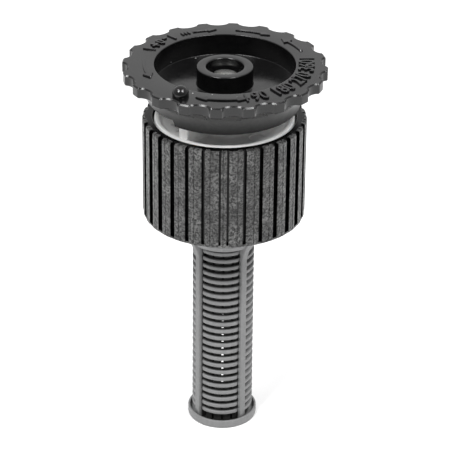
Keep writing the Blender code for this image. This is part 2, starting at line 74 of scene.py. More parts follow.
FLARE_PULL = (11.6 * MM, FACE_Z - 2.6 * MM)  # the control point of the underside's curve
FLARE_STEPS = 14
FOOT_ROUND = 0.12 * MM
TIP_STEPS = 8
NOTCH_STEPS = 16
SLEEVE_R = 4.4 * MM
SLEEVE_FOOT_Z = 6.8 * MM
COLLAR_BORE_R = 2.42 * MM
BUMP_R = 1.15 * MM
BUMP_ANGLE = -30.2
BUMP_CENTRE_R = 11.85 * MM
BUMP_CENTRE_Z = FACE_Z + 0.15 * MM
COLLAR_FIN_ANGLE = -23.2
COLLAR_FIN_REACH = 8.4 * MM
COLLAR_FIN_WIDTH = 0.7 * MM
COLLAR_FIN_HEIGHT = 2.1 * MM
MARK_RISE = 0.2 * MM
MARK_SINK = 0.1 * MM
ARROW_WIDTH = 0.42 * MM
ARROW_SAMPLES = 36
NUMERAL_R = 11.5 * MM
NUMERAL_SIZE = 3.1 * MM
SIGN_R = 11.6 * MM
LETTER_SQUEEZE = 0.78  # the digits are narrower than the font draws them

# Plate
LIP_R = 9.93 * MM
LIP_Z = FACE_Z - 8.0 * MM
DISH_Z = 4.7 * MM
PLATE_FOOT_Z = 2.8 * MM
SPIGOT_R = 4.2 * MM
SPIGOT_FOOT_Z = -6.5 * MM
PLATE_BORE_R = 3.5 * MM
SEAT_R = 2.6 * MM
HUB_TOP_Z = 6.7 * MM
POST_R = 2.3 * MM
POST_BORE_R = 1.4 * MM
POST_FOOT_Z = 2.0 * MM
POST_TOP_Z = 11.0 * MM
PLATE_FIN_ANGLE = -38.2
PLATE_FIN_REACH = 9.0 * MM
PLATE_FIN_WIDTH = 1.5 * MM
PLATE_FIN_FOOT_Z = 4.0 * MM

# Skirt
SKIRT_R = 11.57 * MM
SKIRT_BORE_R = 10.15 * MM
SKIRT_TOP_Z = FACE_Z - 8.0 * MM
SKIRT_FOOT_Z = FACE_Z - 22.97 * MM
GROOVE_DEPTH = 0.55 * MM
GROOVE_WIDTH = 0.42 * MM
MIDDLE_GROOVE_SHARE = 0.7  # the pair of grooves at the parting line is narrower
PLAIN_SHADED_TOP_R = 10.95 * MM  # the top edge is ungrained inside this radius, and coloured near-black there as painted shade beside the lip
GROOVE_FLARE = 4.0  # degrees that the grooves at the very sides are wider
NARROW_LAND = 5.5
FACET_LINE = 0.1 * MM  # the shallow step down the middle of each land
WIDE_LANDS = 15
THREAD_CREST_R = 8.95 * MM
THREAD_ROOT_R = 9.5 * MM
THREAD_PITCH = 1.6 * MM
THREAD_ROWS = 90
GASKET_POCKET_R = 9.1 * MM
GASKET_POCKET_Z = 1.0 * MM
INLET_R = 4.3 * MM
PLATE_SEAT_Z = 2.7 * MM

# Filter
RING_PITCH = 1.1745 * MM
FIRST_RING_Z = FACE_Z - 28.275 * MM
RINGS = 24
RING_HEIGHT = 0.55 * MM
RECESSED_RING_R = 4.15 * MM
SIDE_RING_R = 4.47 * MM
GROOVE_FLOOR_R = 3.6 * MM
FILTER_BORE_R = 3.2 * MM
RIB_R = 4.5 * MM
RIBS = ((-64.0, -50.0), (37.0, 50.0), (116.0, 130.0), (217.0, 230.0))
HEAD_R = 6.0 * MM
HEAD_FOOT_Z = FACE_Z - 26.3 * MM
CAP_R = 5.08 * MM
CAP_FOOT_Z = FACE_Z - 57.4 * MM
CAP_FLOOR_Z = CAP_FOOT_Z + 0.4 * MM
CAP_RIM_Z = CAP_FOOT_Z + 1.22 * MM
STAVES = 16
FRONT_WINDOW = 87.0  # degrees between the ribs at the front, and again at the back
RING_RUN_OUT = 7.0  # degrees over which a ring fades into the wall beside a rib
PAINTED_SHADE_R = 3.8 * MM  # painted shade darkens the inner wall out to here
UNSHADED_R = 4.1 * MM

# Screw
SCREW_R = 1.25 * MM
SCREW_HEAD_R = 1.85 * MM
SCREW_HEAD_Z = FACE_Z - 1.7 * MM
SCREW_FOOT_Z = -4.2 * MM
CLIP_GROOVE_R = 0.9 * MM
SLOT_ANGLE = 62.0

# Camera and lights
CAMERA_DISTANCE = 331.009 * MM
CAMERA_TILT = 28.749
CAMERA_ROLL = 0.503
CAMERA_AIM = (0.0, 0.0, -11.675 * MM)
CAMERA_LENS = 183.47
CAMERA_SHIFT = (0.0031, 0.0006)
FRONT_GLOW = 0.30  # the room is darker in front of the nozzle than behind it
BACK_GLOW = 0.95
LIGHTS = (  # name, place on the right-hand side, size and power
    ("overhead", (0.15, -0.10, 0.35), (0.22, 0.05), 0.55),
    ("key", (0.17, -0.20, 0.31), (0.14, 0.08), 0.9),
)
RIGHT_SHARE = 0.8  # the lights on the right are weaker


# ---------------------------------------------------------------- mesh helpers


def polar(angle, radius, height):
    """The point at this angle from the front, distance from the axis and height."""
    turn = math.radians(angle)
    return (radius * math.sin(turn), -radius * math.cos(turn), height)


def add_object(name, mesh):
    obj = bpy.data.objects.new(name, mesh)
    bpy.context.scene.collection.objects.link(obj)
    return obj


def from_bmesh(name, shape):
    mesh = bpy.data.meshes.new(name)
    shape.to_mesh(mesh)
    shape.free()
    return add_object(name, mesh)


def tidy_mesh(mesh, merge=0.0005 * MM):
    """Merges touching points, drops faces with no area and turns the rest outwards."""
    shape = bmesh.new()
    shape.from_mesh(mesh)
    bmesh.ops.remove_doubles(shape, verts=shape.verts, dist=merge)
    bmesh.ops.dissolve_degenerate(shape, edges=shape.edges, dist=merge * 0.2)
    bmesh.ops.recalc_face_normals(shape, faces=shape.faces)
    shape.to_mesh(mesh)
    shape.free()


def close_ends(obj):
    """Fills the open ends of a skin."""
    shape = bmesh.new()
    shape.from_mesh(obj.data)
    bmesh.ops.holes_fill(shape, edges=[edge for edge in shape.edges if edge.is_boundary])
    bmesh.ops.recalc_face_normals(shape, faces=shape.faces)
    shape.to_mesh(obj.data)
    shape.free()
    return obj


def skin(name, grid, loop_profile=True, loop_stations=True):
    """A mesh over a grid of points indexed by station and by profile point."""
    grid = np.asarray(grid, float)
    index = np.arange(grid.shape[0] * grid.shape[1]).reshape(grid.shape[:2])
    here = index if loop_stations else index[:-1]
    ahead = np.roll(index, -1, axis=0) if loop_stations else index[1:]
    if loop_profile:
        corners = [here, np.roll(here, -1, axis=1), np.roll(ahead, -1, axis=1), ahead]
    else:
        corners = [here[:, :-1], here[:, 1:], ahead[:, 1:], ahead[:, :-1]]
    faces = np.stack(corners, axis=-1).reshape(-1, 4)
    mesh = bpy.data.meshes.new(name)
    mesh.from_pydata(grid.reshape(-1, 3).tolist(), [], faces.tolist())
    tidy_mesh(mesh)
    return add_object(name, mesh)


def rounded(corners, steps=4, closed=True):
    """A profile of (radius, height) points, from corners given as (radius, height, fillet)."""
    points = []
    count = len(corners)
    for i, (radius, height, fillet) in enumerate(corners):
        here = Vector((radius, height))
        if not closed and i in (0, count - 1):
            points.append(here)
            continue
        before = Vector(corners[i - 1][:2]) - here
        after = Vector(corners[(i + 1) % count][:2]) - here
        reach = min(fillet, 0.45 * before.length, 0.45 * after.length)
        if reach < 0.001 * MM:
            points.append(here)
            continue
        start = here + before.normalized() * reach
        end = here + after.normalized() * reach
        for k in range(steps + 1):
            t = k / steps
            points.append(start * (1 - t) ** 2 + here * 2 * t * (1 - t) + end * t * t)
    return points


def turned(name, corners, stations, closed=True):
    """A solid of revolution with rounded corners."""
    profile = rounded(corners, closed=closed)
    grid = [[polar(360.0 * i / stations, p.x, p.y) for p in profile] for i in range(stations)]
    return skin(name, grid, loop_profile=closed)


def bezier(start, pull, end, share):
    """A point of the curve from start to end that leans towards pull."""
    rest = 1 - share
    return tuple(
        start[k] * rest**2 + pull[k] * 2 * share * rest + end[k] * share**2 for k in (0, 1)
    )


def smooth(obj, angle=35.0):
    obj.data.shade_smooth()
    obj.data.set_sharp_from_angle(angle=math.radians(angle))
    return obj


def block(name, size, centre, angle, edge=0.08 * MM):
    """A box with softened edges whose length runs outwards at this angle."""
    shape = bmesh.new()
    bmesh.ops.create_cube(shape, size=1.0)
    bmesh.ops.scale(shape, vec=size, verts=shape.verts)
    bmesh.ops.bevel(
        shape, geom=list(shape.edges), offset=edge, segments=3, profile=0.5, affect="EDGES"
    )
    bmesh.ops.translate(shape, vec=(centre[0], 0.0, centre[1]), verts=shape.verts)
    bmesh.ops.transform(
        shape, matrix=Matrix.Rotation(math.radians(angle - 90.0), 4, "Z"), verts=shape.verts
    )
    return from_bmesh(name, shape)


def merge_into(target, others):
    """Adds the other objects' meshes to the target's, as one piece."""
    shape = bmesh.new()
    shape.from_mesh(target.data)
    for other in others:
        other.data.transform(other.matrix_world)
        shape.from_mesh(other.data)
        bpy.data.objects.remove(other, do_unlink=True)
    shape.to_mesh(target.data)
    shape.free()
    return target


# ---------------------------------------------------------------- materials


class Paint:
    """A small helper around one material's node tree."""

    def __init__(self, name):
        self.material = bpy.data.materials.new(name)
        self.material.use_nodes = True
        self.tree = self.material.node_tree
        self.shader = self.tree.nodes["Principled BSDF"]
        self.place = self.node("ShaderNodeTexCoord").outputs["Object"]

    def node(self, kind, **settings):
        made = self.tree.nodes.new(kind)
        for key, value in settings.items():
            setattr(made, key, value)
        return made

    def link(self, source, socket):
        self.tree.links.new(source, socket)

    def noise(self, scale, detail=4.0, roughness=0.6, stretch=None):
        """A noise's value from 0 to 1; scale is in features per metre."""
        made = self.node("ShaderNodeTexNoise")
        made.inputs["Scale"].default_value = scale
        made.inputs["Detail"].default_value = detail
        made.inputs["Roughness"].default_value = roughness
        place = self.place
        if stretch:
            mapping = self.node("ShaderNodeMapping")
            mapping.inputs["Scale"].default_value = stretch
            self.link(self.place, mapping.inputs["Vector"])
            place = mapping.outputs["Vector"]
        self.link(place, made.inputs["Vector"])
        return made.outputs["Fac"]

    def cells(self, scale):
        made = self.node("ShaderNodeTexVoronoi")
        made.inputs["Scale"].default_value = scale
        self.link(self.place, made.inputs["Vector"])
        return made.outputs["Distance"]

    def ramp(self, value, *stops):
        """Maps a value through (position, colour) stops; a colour may be one grey number."""
        made = self.node("ShaderNodeValToRGB")
        elements = made.color_ramp.elements
        while len(elements) < len(stops):
            elements.new(0.5)
        for element, (position, colour) in zip(elements, stops):
            element.position = position
            grey = isinstance(colour, (int, float))
            element.color = (colour, colour, colour, 1.0) if grey else (*colour, 1.0)
        self.link(value, made.inputs["Fac"])
        return made.outputs["Color"]

    def mixed(self, factor, first, second):
        made = self.node("ShaderNodeMix", data_type="RGBA")
        self.link(factor, made.inputs["Factor"])
        self.link(first, made.inputs["A"])
        self.link(second, made.inputs["B"])
        return made.outputs["Result"]

    def added(self, first, second, share):
        """first + share * second"""
        made = self.node("ShaderNodeMath", operation="MULTIPLY_ADD")
        self.link(second, made.inputs[0])
        made.inputs[1].default_value = share
        self.link(first, made.inputs[2])
        return made.outputs["Value"]

    def near_axis(self, full, none):
        """1 within the first distance of the upright axis, falling to 0 at the second."""
        flat = self.node("ShaderNodeVectorMath", operation="MULTIPLY")
        flat.inputs[1].default_value = (1.0, 1.0, 0.0)
        self.link(self.place, flat.inputs[0])
        length = self.node("ShaderNodeVectorMath", operation="LENGTH")
        self.link(flat.outputs["Vector"], length.inputs[0])
        span = self.node("ShaderNodeMapRange")
        span.inputs["From Min"].default_value = full
        span.inputs["From Max"].default_value = none
        span.inputs["To Min"].default_value = 1.0
        span.inputs["To Max"].default_value = 0.0
        self.link(length.outputs["Value"], span.inputs["Value"])
        return span.outputs["Result"]

    def between_heights(self, low, high):
        """0 at and below the first height, rising to 1 at the second."""
        split = self.node("ShaderNodeSeparateXYZ")
        self.link(self.place, split.inputs["Vector"])
        span = self.node("ShaderNodeMapRange")
        span.inputs["From Min"].default_value = low
        span.inputs["From Max"].default_value = high
        self.link(split.outputs["Z"], span.inputs["Value"])
        return span.outputs["Result"]

    def bump(self, height, distance, strength=1.0):
        made = self.node("ShaderNodeBump")
        made.inputs["Distance"].default_value = distance
        made.inputs["Strength"].default_value = strength
        self.link(height, made.inputs["Height"])
        self.link(made.outputs["Normal"], self.shader.inputs["Normal"])

    def colour(self, source):
        self.link(source, self.shader.inputs["Base Color"])

    def roughness(self, source):
        self.link(source, self.shader.inputs["Roughness"])


def black_plastic():
    """Glossy black acetal: a faint mottle, fine orange peel and a few specks of dust."""
    paint = Paint("moulded_black")
    mottle = paint.noise(900.0)
    dust = paint.ramp(paint.cells(520.0), (0.0, 1.0), (0.05, 1.0), (0.07, 0.0))
    body = paint.ramp(mottle, (0.3, (0.0015, 0.0015, 0.0016)), (0.7, (0.0035, 0.0035, 0.0036)))
    speck = paint.ramp(paint.noise(350.0), (0.56, 0.006), (0.60, (0.30, 0.30, 0.295)))
    paint.colour(paint.mixed(dust, body, speck))
    paint.roughness(paint.ramp(paint.noise(1500.0), (0.3, 0.13), (0.7, 0.22)))
    paint.bump(paint.noise(1300.0), 0.006 * MM, 0.35)
    paint.shader.inputs["Specular IOR Level"].default_value = 0.5
    return paint.material


def satin_black_painted_shade():
    """Black from a stoned mould: the skirt's groove floors, bore and top edge, coloured near-black
    as painted shade.
    """
    paint = Paint("satin_black_painted_shade")
    texture = paint.noise(3800.0)
    # the near-black colour is painted shade in the grooves and in the band beside the plate's lip
    paint.colour(paint.ramp(texture, (0.35, 0.001), (0.7, 0.004)))
    paint.roughness(paint.ramp(texture, (0.3, 0.16), (0.7, 0.28)))
    paint.bump(texture, 0.012 * MM, 0.5)
    paint.shader.inputs["Specular IOR Level"].default_value = 0.15
    return paint.material


def wall_black_painted_shade():
    """The black under the collar's rim: grey near the rim as painted light, darkening to the wall's
    foot as painted shade, and matt at the wall's foot.
    """
    paint = Paint("wall_black_painted_shade")
    texture = paint.noise(2400.0)
    wear = paint.noise(700.0)
    height = paint.between_heights(WALL_FOOT_Z + 0.2 * MM, RIM_FOOT_Z - 1.4 * MM)
    # near-black at the wall's foot is painted shade, and the grey near the rim is painted light
    deep = paint.ramp(texture, (0.3, 0.001), (0.7, 0.003))
    wear_and_painted_light = paint.ramp(texture, (0.3, 0.026), (0.7, (0.042, 0.042, 0.041)))
    paint.colour(paint.mixed(height, deep, wear_and_painted_light))
    matt = paint.ramp(wear, (0.3, 0.55), (0.7, 0.65))
    satin = paint.ramp(wear, (0.3, 0.24), (0.7, 0.34))
    paint.roughness(paint.mixed(height, matt, satin))
    paint.bump(texture, 0.01 * MM, 0.5)
    paint.shader.inputs["Specular IOR Level"].default_value = 0.22
    return paint.material


def grained_plastic():
    """Black from a spark-eroded mould: a coarse sparkling grain, rubbed paler in places."""
    paint = Paint("spark_eroded_black")
    grain = paint.noise(3100.0, detail=3.0, roughness=0.75)
    cells = paint.cells(2600.0)
    wear_and_painted_light = paint.noise(420.0)
    body = paint.ramp(grain, (0.45, 0.001), (0.57, (0.058, 0.058, 0.057)))
    worn = paint.ramp(grain, (0.44, 0.002), (0.57, (0.125, 0.125, 0.123)))
    share = paint.ramp(wear_and_painted_light, (0.42, 0.0), (0.62, 1.0))
    paint.colour(paint.mixed(share, body, worn))
    paint.roughness(paint.ramp(grain, (0.35, 0.55), (0.65, 0.32)))
    paint.bump(paint.added(grain, cells, 0.6), 0.17 * MM, 1.0)
    paint.shader.inputs["Sheen Weight"].default_value = 0.22
    paint.shader.inputs["Sheen Roughness"].default_value = 0.35
    return paint.material


def pale_plastic():
    """Off-white acetal with light passing a little way into it."""
    paint = Paint("moulded_pale")
    mottle = paint.noise(700.0)
    paint.colour(paint.ramp(mottle, (0.3, (0.86, 0.86, 0.85)), (0.7, (0.92, 0.92, 0.91))))
    paint.roughness(paint.ramp(paint.noise(2400.0), (0.3, 0.36), (0.7, 0.46)))
    paint.bump(paint.noise(3500.0), 0.01 * MM, 0.5)
    paint.shader.inputs["Subsurface Weight"].default_value = 0.15
    paint.shader.inputs["Subsurface Radius"].default_value = (0.9 * MM, 0.8 * MM, 0.7 * MM)
    paint.shader.inputs["Subsurface Scale"].default_value = 1.0
    return paint.material


def grey_plastic():
    """Satin mid-grey polypropylene, with streaks along the mould's pull and painted shade darkening
    the inner wall.
    """
    paint = Paint("moulded_grey")
    streaks = paint.noise(1500.0, stretch=(1.0, 1.0, 0.12))
    mottle = paint.noise(2600.0)
    body = paint.ramp(mottle, (0.3, (0.150, 0.151, 0.152)), (0.7, (0.19, 0.191, 0.192)))
    drawn = paint.ramp(streaks, (0.35, (0.155, 0.156, 0.157)), (0.65, (0.20, 0.201, 0.202)))
    surface = paint.mixed(paint.noise(200.0), body, drawn)
    # darker grey near the axis is painted shade on the inner wall
    inner_painted_shade = paint.ramp(mottle, (0.3, 0.012), (0.7, (0.03, 0.03, 0.029)))
    paint.colour(paint.mixed(paint.near_axis(PAINTED_SHADE_R, UNSHADED_R), surface, inner_painted_shade))
    paint.roughness(paint.ramp(streaks, (0.3, 0.42), (0.7, 0.55)))
    paint.bump(paint.added(mottle, streaks, 1.5), 0.012 * MM, 0.6)
    return paint.material


def rubber():
    """Nitrile rubber with a faint bloom."""
    paint = Paint("nitrile_rubber")
    bloom = paint.noise(1200.0)
    paint.colour(paint.ramp(bloom, (0.35, 0.010), (0.7, (0.028, 0.028, 0.027))))
    paint.roughness(paint.ramp(bloom, (0.3, 0.62), (0.7, 0.82)))
    paint.bump(paint.noise(6000.0), 0.02 * MM, 0.6)
    paint.shader.inputs["Sheen Weight"].default_value = 0.1
    return paint.material


def steel():
    """Stainless steel with turning rings round the axis."""
    paint = Paint("turned_steel")
    rings = paint.node("ShaderNodeTexWave", wave_type="RINGS", rings_direction="Z")
    rings.inputs["Scale"].default_value = 3000.0
    rings.inputs["Distortion"].default_value = 1.5
    rings.inputs["Detail"].default_value = 2.0
    paint.link(paint.place, rings.inputs["Vector"])
    tone = paint.noise(900.0)
    paint.colour(paint.ramp(tone, (0.3, (0.50, 0.50, 0.49)), (0.7, (0.72, 0.72, 0.70))))
    paint.roughness(paint.ramp(rings.outputs["Fac"], (0.0, 0.22), (1.0, 0.38)))
    paint.bump(paint.added(rings.outputs["Fac"], tone, 0.6), 0.01 * MM, 0.5)
    paint.shader.inputs["Metallic"].default_value = 1.0
    return paint.material


def studio_white():
    """The floor: a matt pale sweep with hardly any tone in it."""
    paint = Paint("studio_white")
    tone = paint.noise(12.0)
    paint.colour(paint.ramp(tone, (0.3, 0.90), (0.7, 0.93)))
    paint.roughness(paint.ramp(tone, (0.3, 0.9), (0.7, 1.0)))
    return paint.material


def place(obj, body, nodes, slot, material):
    """Gives the piece its material, puts it on its body and lets it stand for its CAD nodes."""
    obj.data.materials.clear()
    obj.data.materials.append(material)
    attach(obj, body)
    if nodes:
        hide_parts(*nodes)
    return obj


# ---------------------------------------------------------------- collar


def rim_outline():
    """The scalloped outline as angles and radii, closest together at the corners of the teeth."""
    pitch = 360.0 / TEETH
    half_tip = (pitch - TOOTH_NOTCH) / 2.0
    found = []
    for tooth in range(TEETH):
        middle = TOOTH_PHASE + tooth * pitch
        for k in range(TIP_STEPS + 1):
            share = -math.cos(math.pi * k / TIP_STEPS)
            found.append((middle + share * half_tip, TIP_R))
        for k in range(1, NOTCH_STEPS):
            phase = math.pi * k / NOTCH_STEPS
            angle = middle + pitch / 2.0 - math.cos(phase) * TOOTH_NOTCH / 2.0
            found.append((angle, TIP_R - NOTCH_DEPTH * math.sin(phase)))
    points = np.array([polar(angle, radius, 0.0)[:2] for angle, radius in found])
    for _ in range(2):
        points = (np.roll(points, 1, axis=0) + 2 * points + np.roll(points, -1, axis=0)) / 4
    return [angle for angle, _ in found], points


def outward(points):
    """The unit normals of a closed outline that runs counter-clockwise."""
    along = np.roll(points, -1, axis=0) - np.roll(points, 1, axis=0)
    normals = np.stack([along[:, 1], -along[:, 0]], axis=1)
    return normals / np.linalg.norm(normals, axis=1, keepdims=True)


def wall_foot(angle):
    """The height of the collar wall's lower edge at this angle."""
    turn = (angle - LOW_WALL[0]) % 360.0
    return WALL_FOOT_Z + (0.0 if turn < LOW_WALL[1] - LOW_WALL[0] else WALL_STEP_RISE)


def flare_points(foot_z):
    """The rim's curved underside down to this height, as (radius, height)."""
    start = (FLARE_TOP_R, RIM_FOOT_Z)
    end = (WALL_FOOT_R, WALL_FOOT_Z)
    low, high = 0.0, 1.0
    for _ in range(30):
        middle = (low + high) / 2.0
        above = bezier(start, FLARE_PULL, end, middle)[1] > foot_z
        low, high = (middle, high) if above else (low, middle)
    return [
        bezier(start, FLARE_PULL, end, high * k / FLARE_STEPS) for k in range(FLARE_STEPS + 1)
    ]


def collar_profile(foot_z):
    """The profile from the wall's inner corner, round the sleeve and cup, to the rim's edge."""
    inner = [
        (WALL_INNER_R, foot_z, FOOT_ROUND),
        (WALL_INNER_R, CEILING_Z, 0.4 * MM),
        (SLEEVE_R, CEILING_Z, 0.15 * MM),
        (SLEEVE_R, SLEEVE_FOOT_Z, 0.0),
        (COLLAR_BORE_R, SLEEVE_FOOT_Z, 0.0),
        (COLLAR_BORE_R, WELL_FLOOR_Z, 0.0),
        (WELL_R, WELL_FLOOR_Z, 0.1 * MM),
        (WELL_R, BOSS_Z, 0.22 * MM),
        (BOSS_R, BOSS_Z, 0.16 * MM),
        (BOSS_R, CUP_FLOOR_Z, 0.12 * MM),
        (CUP_R, CUP_FLOOR_Z, 0.1 * MM),
        (CUP_R, FACE_Z, 0.14 * MM),
        (FACE_R, RIM_Z, 0.0),
    ]
    return rounded([(WALL_FOOT_R, foot_z, 0.0)] + inner, closed=False)[1:]


def make_collar(glossy, dull_painted_shade):
    angles, outline = rim_outline()
    normals = outward(outline)
    stations = [(angle, i) for i, angle in enumerate(angles)]
    for edge_angle in LOW_WALL:  # the step in the wall is steep, so it needs stations of its own
        gaps = [abs((angle - edge_angle + 180) % 360 - 180) for angle in angles]
        nearest = gaps.index(min(gaps))
        stations += [(edge_angle + offset, nearest) for offset in (-0.06, -0.05, 0.05, 0.06)]
    stations.sort(key=lambda pair: (pair[0] - angles[0]) % 360.0)
    grid = []
    for angle, i in stations:
        point = outline[i] if angle == angles[i] else outline_at(angle, angles, outline)
        normal = normals[i]
        foot_z = wall_foot(angle)
        row = [polar(angle, p.x, p.y) for p in collar_profile(foot_z)]
        for share in (0.0, 0.5, 1.0):
            edge = point - normal * RIM_CHAMFER * (1.0 - share)
            row.append((edge[0], edge[1], RIM_Z - RIM_CHAMFER * 0.9 * share))
        row.append((point[0], point[1], RIM_FOOT_Z + FOOT_ROUND))
        under = point - normal * FOOT_ROUND
        row.append((under[0], under[1], RIM_FOOT_Z))
        flare = flare_points(foot_z)
        row += [polar(angle, radius, height) for radius, height in flare[:-1]]
        radius, height = flare[-1]
        row.append(polar(angle, radius, height + 0.02 * MM))
        row.append(polar(angle, radius - 0.06 * MM, height))
        grid.append(row)
    collar = smooth(skin("collar_moulding", grid), 32.0)
    place(collar, "arc_collar", ["arc_collar"], "black_plastic", glossy)
    collar.data.materials.append(dull_painted_shade)
    # faces under the rim take the second material, whose colour is painted light near the rim and
    # painted shade at the wall's foot
    for face in collar.data.polygons:
        x, y, z = face.center
        under_rim = z < RIM_FOOT_Z + 0.05 * MM and math.hypot(x, y) > CUP_R + 0.3 * MM
        face.material_index = 1 if under_rim else 0


def outline_at(angle, angles, outline):
    """The outline's point at an angle between two of its own."""
    first = angles[0]
    turns = [(a - first) % 360.0 for a in angles] + [360.0]
    points = np.vstack([outline, outline[:1]])
    turn = (angle - first) % 360.0
    return np.array([np.interp(turn, turns, points[:, k]) for k in (0, 1)])


def make_bump():
    """The index bump that the thumb finds, a half ball on the rim."""
    shape = bmesh.new()
    bmesh.ops.create_uvsphere(shape, u_segments=48, v_segments=32, radius=BUMP_R)
    centre = polar(BUMP_ANGLE, BUMP_CENTRE_R, BUMP_CENTRE_Z)
    bmesh.ops.translate(shape, vec=centre, verts=shape.verts)
    return smooth(from_bmesh("index_bump", shape))


def face_height(radius):
    """The marked face's height at this distance from the axis."""
    share = (radius - CUP_R) / (FACE_R - CUP_R)
    return FACE_Z + (RIM_Z - FACE_Z) * share


def raised_band(name, edges, soften=0.05 * MM):
    """A raised mark on the face, through (angle, inner radius, outer radius) stations."""
    grid = []
    count = len(edges)
    for i, (angle, inner, outer) in enumerate(edges):
        tip = i in (0, count - 1)
        inset = soften * (2.0 if tip else 1.0)
        middle = (inner + outer) / 2.0
        half = max((outer - inner) / 2.0, 0.01 * MM)
        top_half = max(half - inset, 0.005 * MM)
        rise = 0.0 if tip else MARK_RISE
        corners = (
            (half, -MARK_SINK),
            (half, rise * 0.6),
            (top_half, rise),
            (-top_half, rise),
            (-half, rise * 0.6),
            (-half, -MARK_SINK),
        )
        grid.append(
            [polar(angle, middle + x, face_height(middle + x) + up) for x, up in corners]
        )
    return close_ends(skin(name, grid, loop_stations=False))


def arc_arrow(name, start, end, radius, head_width, heads="end", head_length=7.0):
    """A curved arrow from one angle to another, with a head at its end or at both ends."""
    direction = 1.0 if end > start else -1.0
    length = abs(end - start)
    edges = []
    for k in range(ARROW_SAMPLES + 1):
        run = length * k / ARROW_SAMPLES
        half = ARROW_WIDTH / 2.0
        for distance in [length - run] + ([run] if heads == "both" else []):
            if distance < head_length:
                shaft = half if distance > head_length * 0.85 else 0.0
                half = max(shaft, head_width / 2.0 * distance / head_length)
        edges.append((start + direction * run, radius - half, radius + half))
    return raised_band(name, edges)


def tick(name, angle, inner, outer, width):
    """A short radial line on the face."""
    span = math.degrees(width / ((inner + outer) / 2.0))
    edges = [(angle + span * share, inner, outer) for share in (-0.5, -0.35, 0.0, 0.35, 0.5)]
    return raised_band(name, edges, 0.03 * MM)


def numeral(name, body, angle, radius, size):
    """Raised digits bent round the face, read from outside the collar."""
    curve = bpy.data.curves.new(name, "FONT")
    curve.body = body
    curve.size = size
    curve.align_x = "CENTER"
    curve.align_y = "CENTER"
    curve.extrude = (MARK_RISE + MARK_SINK) / 2.0
    curve.bevel_depth = 0.02 * MM
    curve.offset = 0.035 * MM
    source = add_object(name + "_text", curve)
    bpy.context.view_layer.update()
    graph = bpy.context.evaluated_depsgraph_get()
    mesh = bpy.data.meshes.new_from_object(source.evaluated_get(graph))
    bpy.data.objects.remove(source, do_unlink=True)
    lift = (MARK_RISE - MARK_SINK) / 2.0
    for vertex in mesh.vertices:
        x, y, z = vertex.co
        at = radius - y
        turn = angle + math.degrees(x * LETTER_SQUEEZE / radius)
        vertex.co = polar(turn, at, face_height(at) + lift + z)
    obj = add_object(name, mesh)
    tidy_mesh(mesh)
    return obj


def make_marks():
    """Turning arrows, an arc scale in degrees and plus and minus signs, raised on the face."""
    parts = [
        arc_arrow("face_marks", -92.0, -64.0, 11.25 * MM, 1.7 * MM),
        arc_arrow("arrow_front", -20.0, 17.0, 11.75 * MM, 1.1 * MM, heads="both", head_length=9.0),
        arc_arrow("arrow_back_left", 204.0, 186.0, 11.5 * MM, 1.3 * MM),
        arc_arrow("arrow_back_right", 173.0, 146.0, 11.5 * MM, 1.3 * MM),
        arc_arrow("arrow_right", 112.0, 137.0, 11.6 * MM, 1.6 * MM),
    ]
    for angle in (207.0, 209.5, 212.0):
        parts.append(tick("tail", angle, 11.1 * MM, 11.9 * MM, 0.3 * MM))
    for body, angle in (("360", 86.5), ("270", 65.0), ("180", 43.5), ("90", 24.5)):
        parts.append(numeral("arc_" + body, body, angle, NUMERAL_R, NUMERAL_SIZE))
    for angle in (98.5, 14.5):
        parts.append(tick("scale_end", angle, 10.5 * MM, 12.6 * MM, 0.34 * MM))
    for angle in (-113.0, -139.0):
        parts.append(tick("sign_bar", angle, 10.6 * MM, 12.5 * MM, 0.36 * MM))
    signs = (("+", -120.5, 2.9 * MM), ("0", -127.0, 2.3 * MM), ("-", -133.0, 2.9 * MM))
    for body, angle, size in signs:
        parts.append(numeral("sign", body, angle, SIGN_R, size))
    return smooth(merge_into(parts[0], parts[1:]), 30.0)


def make_collar_fin():
    """The stop under the collar's ceiling, which meets the plate's fin at each end of the turn."""
    length = COLLAR_FIN_REACH - SLEEVE_R
    size = (length + 0.4 * MM, COLLAR_FIN_WIDTH, COLLAR_FIN_HEIGHT)
    centre = (SLEEVE_R + length / 2.0, CEILING_Z - 0.75 * MM)
    return smooth(block("collar_stop_fin", size, centre, COLLAR_FIN_ANGLE))


# ---------------------------------------------------------------- plate


